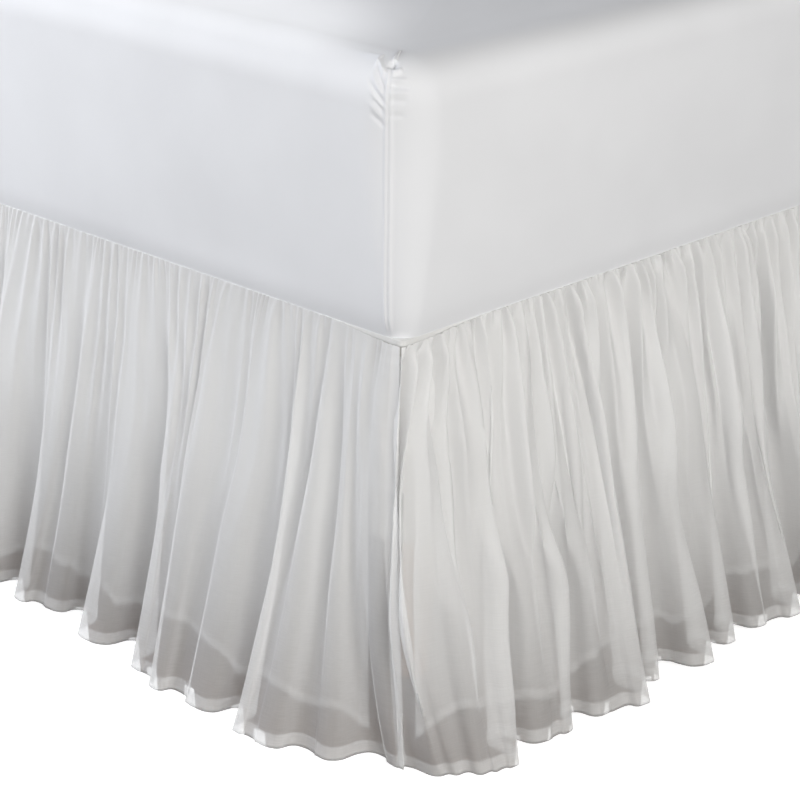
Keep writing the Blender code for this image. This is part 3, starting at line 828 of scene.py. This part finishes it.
def makeMattress():
    low, high = deckTop - mattress["sunk"], mattressHigh[2]
    sideWave, topWave = mattress["sideWave"], mattress["topWave"]
    grid, cloth = [], []
    profile = np.array(mattressProfile(low, high))
    steps = np.gradient(profile, axis=0)
    steps /= np.hypot(steps[:, 0], steps[:, 1])[:, None]
    for (inset, height), (inward, upright), up in zip(profile, steps, runLengths(profile)):
        grown = float(smoothStep(up, 0.0, mattress["cornerRise"]))
        radius = mattress["footCorner"] + (mattress["corner"] - mattress["footCorner"]) * grown
        path, normals = roundedPath(bedWidth / 2, footSide, headSide, radius, mattress["counts"])
        lengths = runLengths(path)
        whole = lengths[-1] + math.dist(path[-1], path[0])
        # along has its origin in the middle of the right foot corner
        along = (lengths - radius * math.pi / 4 + whole / 2) % whole - whole / 2
        upward = np.full_like(along, up)
        rise = sideWave["height"] * softNoise(6, along / sideWave["size"][0],
                                              upward / sideWave["size"][1])
        rise *= smoothStep(upward, *sideWave["grows"])
        side = bedLength - 2 * radius + radius * math.pi / 2
        end = bedWidth - 2 * radius + radius * math.pi / 2
        for place, facing in ((0, 1), (side, -1), (side + end, 1), (-end, -1)):
            fromSeam = (along - place + whole / 2) % whole - whole / 2
            fromSeam = facing * fromSeam + mattress["seamBack"]
            rise += strokeRise(fromSeam, upward, cornerWrinkles)
            beside = (fromSeam - mattress["besideSeam"]) / mattress["seamWidth"]
            ridge = np.exp(-(fromSeam / mattress["seamWidth"]) ** 2)
            ridge += mattress["besideRise"] * np.exp(-beside ** 2)
            rise += mattress["seamRise"] * ridge * smoothStep(upward, *mattress["seamGrows"])
        points = path + (rise * upright - inset)[:, None] * normals
        grid.append(withHeight(points, height + rise * inward))
        cloth.append(withHeight(along, up))
    edge = grid[-1][:, :2]
    clothStep = np.array([0, mattress["topCloth"] / mattress["topRows"]])
    for i in range(1, mattress["topRows"] + 1):
        share = (i / mattress["topRows"]) ** mattress["topSpacing"]
        plan = edge + (bedMiddle - edge) * share * mattress["topReach"]
        crown = mattress["crown"] * smoothStep(share, 0, 0.5)
        wave = topWave["height"] * softNoise(8, *(plan.T / topWave["size"]))
        grid.append(withHeight(plan, high + crown + wave * smoothStep(share, *topWave["grows"])))
        cloth.append(cloth[-1] + clothStep)
    return ringMesh("mattress.fittedSheet", np.array(grid), np.array(cloth), percale, True)


mattressPiece = makeMattress()
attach(mattressPiece, "root")
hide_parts("mattress")
print("mattress made")


# the platform sheet: flat on the box spring, its edge bent down to the skirt's seam
deckSheet = {
    "corner": 0.008, "bendRadius": 0.0008, "bendSteps": 5, "bendCloth": 0.003,
    "out": 0.0001, "counts": (12, 560, 420), "ripple": 0.0006, "ripplePitch": 0.006,
    "lipRows": ((0.0012, 0.0), (0.0, 0.08), (0.0, 0.5), (0.0, 1.0)),    # inset, share of its height
    "inside": (0.006, 0.014, 0.03, 0.06, 0.12, 0.25, 0.5, 0.75),    # rings, metres from the edge
    "insideWhole": 0.76, "insideMost": 0.985,       # to the middle, and the share they reach at most
}


def makeDeck():
    path, normals = roundedPath(rightSide, footSide, headSide, deckSheet["corner"],
                                deckSheet["counts"])
    path = path + deckSheet["out"] * normals
    fromCorner = np.maximum(path[:, 1] - footSide, rightSide - np.abs(path[:, 0])) / mm
    low = seam + seamLift(fromCorner) - lip["lap"]
    lengths = runLengths(path)
    place = lengths / deckSheet["ripplePitch"]
    radius = deckSheet["bendRadius"]
    rings, cloth = [], []
    for inset, share in deckSheet["lipRows"]:
        height = low + (deckTop - radius - low) * share
        ripple = deckSheet["ripple"] * softNoise(90, place, np.full_like(place, 2 * share))
        out = ripple * (1 - share) - inset
        rings.append(withHeight(path + out[:, None] * normals, height))
        cloth.append(withHeight(lengths, height))
    for i in range(1, deckSheet["bendSteps"] + 1):
        angle = math.pi / 2 * i / deckSheet["bendSteps"]
        plan = path - radius * (1 - math.cos(angle)) * normals
        height = deckTop - radius * (1 - math.sin(angle))
        rings.append(withHeight(plan, height))
        cloth.append(withHeight(lengths, height + deckSheet["bendCloth"] * i))
    edge = rings[-1][:, :2]
    for inside in deckSheet["inside"]:
        share = min(inside / deckSheet["insideWhole"], deckSheet["insideMost"])
        rings.append(withHeight(edge - (edge - bedMiddle) * share, deckTop))
        cloth.append(withHeight(lengths, deckTop + inside))
    return ringMesh("deck.platformSheet", np.array(rings), np.array(cloth), shadedSheeting)


deckPiece = makeDeck()
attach(deckPiece, "root")
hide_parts("deck")
print("deck laid")


springBlock = {
    "corner": 0.030, "counts": (14, 60, 44), "sideRows": 24,
    "clear": 0.0006,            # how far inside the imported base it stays
    "edge": 0.010, "edgeShares": (0.3, 0.8), "edgeIn": 0.001,   # its bevelled edges
    "piping": 0.0035, "pipeSteps": 8, "pipeOut": 0.2,   # radius, and its stand as a share of that
    "sideIn": 0.0025, "bulge": 0.002,
    "inside": (0.1, 0.4, 0.8),  # rings on the top, as shares of the way to the middle
}


def makeBoxSpring():
    low, high = springLow[2], springHigh[2]
    middle = np.array([0, (springLow[1] + springHigh[1]) / 2])
    clear, edge, pipe = springBlock["clear"], springBlock["edge"], springBlock["piping"]
    path, normals = roundedPath(springHigh[0] - clear, springLow[1] + clear, springHigh[1] - clear,
                                springBlock["corner"], springBlock["counts"])
    lengths = runLengths(path)
    bevel, upper = (edge * share for share in springBlock["edgeShares"])
    edges = [(edge, 0), (bevel, bevel), (springBlock["edgeIn"], upper)]
    pipes = []
    for i in range(springBlock["pipeSteps"] + 1):
        share = i / springBlock["pipeSteps"]
        pipes.append((pipe * springBlock["pipeOut"] * (1 - math.sin(math.pi * share)), share * 2 * pipe))
    bottom, top = low + edge + 2 * pipe, high - edge - 2 * pipe
    # inset and height, from the bottom up
    rows = [(inset, low + up) for inset, up in edges]
    rows += [(inset, low + edge + up) for inset, up in pipes]
    for i in range(1, springBlock["sideRows"]):
        share = i / springBlock["sideRows"]
        inset = springBlock["sideIn"] - springBlock["bulge"] * math.sin(math.pi * share)
        rows.append((inset, bottom + (top - bottom) * share))
    rows += [(inset, top + up) for inset, up in pipes]
    rows += [(inset, high - down) for inset, down in reversed(edges)]
    rings = [withHeight(path - inset * normals, height) for inset, height in rows]
    cloth = [withHeight(lengths, height) for _, height in rows]
    rim = rings[-1][:, :2]
    for inside in springBlock["inside"]:
        rings.append(withHeight(rim + (middle - rim) * inside, high))
        cloth.append(withHeight(lengths, high + inside))
    return ringMesh("boxSpring.ticking", np.array(rings), np.array(cloth), ticking, True)


springPiece = makeBoxSpring()
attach(springPiece, "root")
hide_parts("box_spring")
print("box spring made")


# floor and light: the pale floor that shows is kept from lighting the cloth, and greyer ones a
# little below it do that instead, so that the skirt darkens downwards as in the photograph
studio = {
    "floor": "#f7f7f7", "floorGlow": 0.62, "reach": 30.0,
    "bounce": "#98958f", "bounceDown": 0.002,
    "near": "#3c3a38", "nearReach": 0.55, "nearDown": 0.001,    # painted shade: an unseen dark sheet stands in for the bed's shadow on the paper round it
    # painted shade: the colour and height of the dark sheet that stands in for the shadow under the bed
    "shade": "#664c3a", "shadeUp": 0.0004,
    "shadeFrom": (1.5, -1.5, 1.236),    # from the corner: the painted shade lies where the hem hides it
    "shadeSteps": 1800,         # directions to look in
    "shadeFine": 0.1,           # the step along the hem, in columns
    "shadePast": 0.0006,        # how far past the hem the painted shade begins
    "shadeRows": (-5, -8, -10),     # rows above the hem that may lie farther off than it does
    "shadeStep": 0.024,         # by at least this much, beside a fold's tip
    "shadeBehind": (1.0065, 0.006),     # the painted shade then begins that much behind them
    "shadeBack": 2.4,           # on the left side, how far inside the hem, in hem heights
    "shadeGap": 0.01,           # between the two sides' outlines
    "skyLow": 1.30, "skyHigh": 0.03, "skyTurn": 0.55,
    "lights": {
        "coolSoftbox": ("AREA", (-1.1, -1.85, 1.40), (0.1, -0.97, 0.60), 2.0, 45, "#f6f9ff"),
        "frontSoftbox": ("AREA", (1.3, -3.2, 1.35), (0.8, -0.9, 0.50), 1.2, 4, "#fbfcff"),
        "warmSoftbox": ("AREA", (3.45, -1.80, 1.60), (0.8, -0.2, 0.50), 1.8, 71, "#fffdf9"),
        "footSpot": ("SPOT", (0.45, 0.6, 2.50), (0.44, -1.12, 0.717), 14.0, 105, "#ffffff"),
    },                          # kind, place, aim, metres or degrees across, watts, colour
    "spotBlend": 0.4, "spotSource": 0.05,
}


def plainMaterial(name, colour, glow):
    made, tree = newMaterial(name)
    surface = addNode(tree, "ShaderNodeBsdfPrincipled", {
        "Base Color": linearColour(colour), "Roughness": 0.9, "Specular IOR Level": 0.1,
        "Emission Color": (1, 1, 1, 1), "Emission Strength": glow})
    addNode(tree, "ShaderNodeOutputMaterial", None, {"Surface": surface.outputs["BSDF"]})
    return made


def stagePiece(name, outline, height, material):
    mesh = bpy.data.meshes.new(name)
    mesh.from_pydata([(x, y, height) for x, y in outline], [], [list(range(len(outline)))])
    mesh.materials.append(material)
    piece = bpy.data.objects.new(name, mesh)
    bpy.context.scene.collection.objects.link(piece)
    return piece


reach = studio["reach"]
square = [(-reach, -reach), (reach, -reach), (reach, reach), (-reach, reach)]
floor = stagePiece("floor", square, 0.0, plainMaterial("paperFloor", studio["floor"], studio["floorGlow"]))
floor.visible_diffuse = False
bounce = stagePiece("bounce", square, -studio["bounceDown"],
                    plainMaterial("greyPaper", studio["bounce"], 0.0))
bounce.visible_camera = False
side, front, back = (edge + studio["nearReach"] for edge in (rightSide, -footSide, headSide))
# painted shade: a dark sheet that the camera doesn't see stands in for the bed's shadow on the floor, so
# that less light bounces up from near the bed
near = stagePiece("nearBounce", [(-side, -front), (side, -front), (side, back), (-side, back)],
                  -studio["nearDown"], plainMaterial("paintedBedShadow", studio["near"], 0.0))
near.visible_camera = False


def sightLine(row, viewer, edges):
    # for each direction from the viewer: how far away the row of points is, and how far the floor
    # is that shows just past it
    line = np.concatenate([fronts["right"][row][::-1], fronts["foot"][row]])
    steps = np.arange(0, len(line) - 1, studio["shadeFine"])
    line = np.column_stack([np.interp(steps, np.arange(len(line)), line[:, i]) for i in range(3)])
    away = line[:, :2] - viewer[:2]
    place = np.searchsorted(edges, np.arctan2(away[:, 1], away[:, 0])) - 1
    within = (place >= 0) & (place < len(edges) - 1)
    distance = np.hypot(away[:, 0], away[:, 1])
    floorDistance = distance * viewer[2] / (viewer[2] - line[:, 2])
    nearest = np.full((2, len(edges) - 1), np.inf)
    np.minimum.at(nearest[0], place[within], distance[within])
    np.minimum.at(nearest[1], place[within], floorDistance[within])
    return nearest


def shadeOutline():
    # painted shade under the bed, a dark sheet standing in for the shadow there: from the hem's foremost
    # line, as seen from before the corner, back
    viewer = np.array([rightSide, footSide, 0]) + np.array(studio["shadeFrom"])
    ends = [line - viewer for line in (fronts["right"][-1][-1], fronts["foot"][-1][-1])]
    edges = np.linspace(*[math.atan2(end[1], end[0]) for end in ends], studio["shadeSteps"])
    middles = (edges[1:] + edges[:-1]) / 2
    hem, reach = sightLine(-1, viewer, edges)
    behind = np.max([sightLine(row, viewer, edges)[0] for row in studio["shadeRows"]], 0)
    # beside a fold's tip the cloth above is already narrower, and the floor shows there
    beside = behind - hem > studio["shadeStep"]
    share, more = studio["shadeBehind"]
    reach = np.where(beside, behind * share + more, reach + studio["shadePast"])
    filled = np.isfinite(reach)
    reach = np.interp(middles, middles[filled], reach[filled])
    front = viewer[:2] + reach[:, None] * np.column_stack([np.cos(middles), np.sin(middles)])
    left = fronts["left"][-1]
    left = np.column_stack([left[:, 0] + studio["shadeBack"] * left[:, 2], left[:, 1]])
    left = left[left[:, 1] > front[-1, 1] + studio["shadeGap"]]
    return np.concatenate([front, left])


# painted shade: a dark brown sheet on the floor under the bed stands in for the shadow seen through the
# voile
shade = stagePiece("underBedPaintedShade", shadeOutline(), studio["shadeUp"],
                   plainMaterial("paintedShadeUnderBed", studio["shade"], 0.0))

for name, (kind, place, aim, size, power, colour) in studio["lights"].items():
    light = bpy.data.objects.new(name, bpy.data.lights.new(name, kind))
    if kind == "AREA":
        light.data.shape = "SQUARE"
        light.data.size = size
    else:
        light.data.spot_size = math.radians(size)
        light.data.spot_blend = studio["spotBlend"]
        light.data.shadow_soft_size = studio["spotSource"]
    light.data.energy = power
    light.data.color = linearColour(colour)[:3]
    light.location = place
    light.rotation_euler = (Vector(aim) - Vector(place)).to_track_quat("-Z", "Y").to_euler()
    bpy.context.scene.collection.objects.link(light)

world = bpy.data.worlds.new("studio")
bpy.context.scene.world = world
world.use_nodes = True
world.node_tree.nodes.clear()
direction = addNode(world.node_tree, "ShaderNodeTexCoord").outputs["Generated"]
up = addNode(world.node_tree, "ShaderNodeSeparateXYZ", None, {"Vector": direction}).outputs["Z"]
level = addNode(world.node_tree, "ShaderNodeMapRange", {
    "From Min": 0.0, "From Max": studio["skyTurn"],
    "To Min": studio["skyLow"], "To Max": studio["skyHigh"]}, {"Value": up})
sky = addNode(world.node_tree, "ShaderNodeBackground", {"Color": (1, 1, 1, 1)},
              {"Strength": level.outputs["Result"]})
addNode(world.node_tree, "ShaderNodeOutputWorld", None, {"Surface": sky.outputs["Background"]})

bpy.context.scene.view_settings.view_transform = "Standard"
bpy.context.scene.cycles.transparent_max_bounces = 24      # through many layers of voile
print("studio lit")

for node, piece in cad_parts.items():
    if node.startswith("leg_"):
        for slot in piece.material_slots:
            slot.material = beech
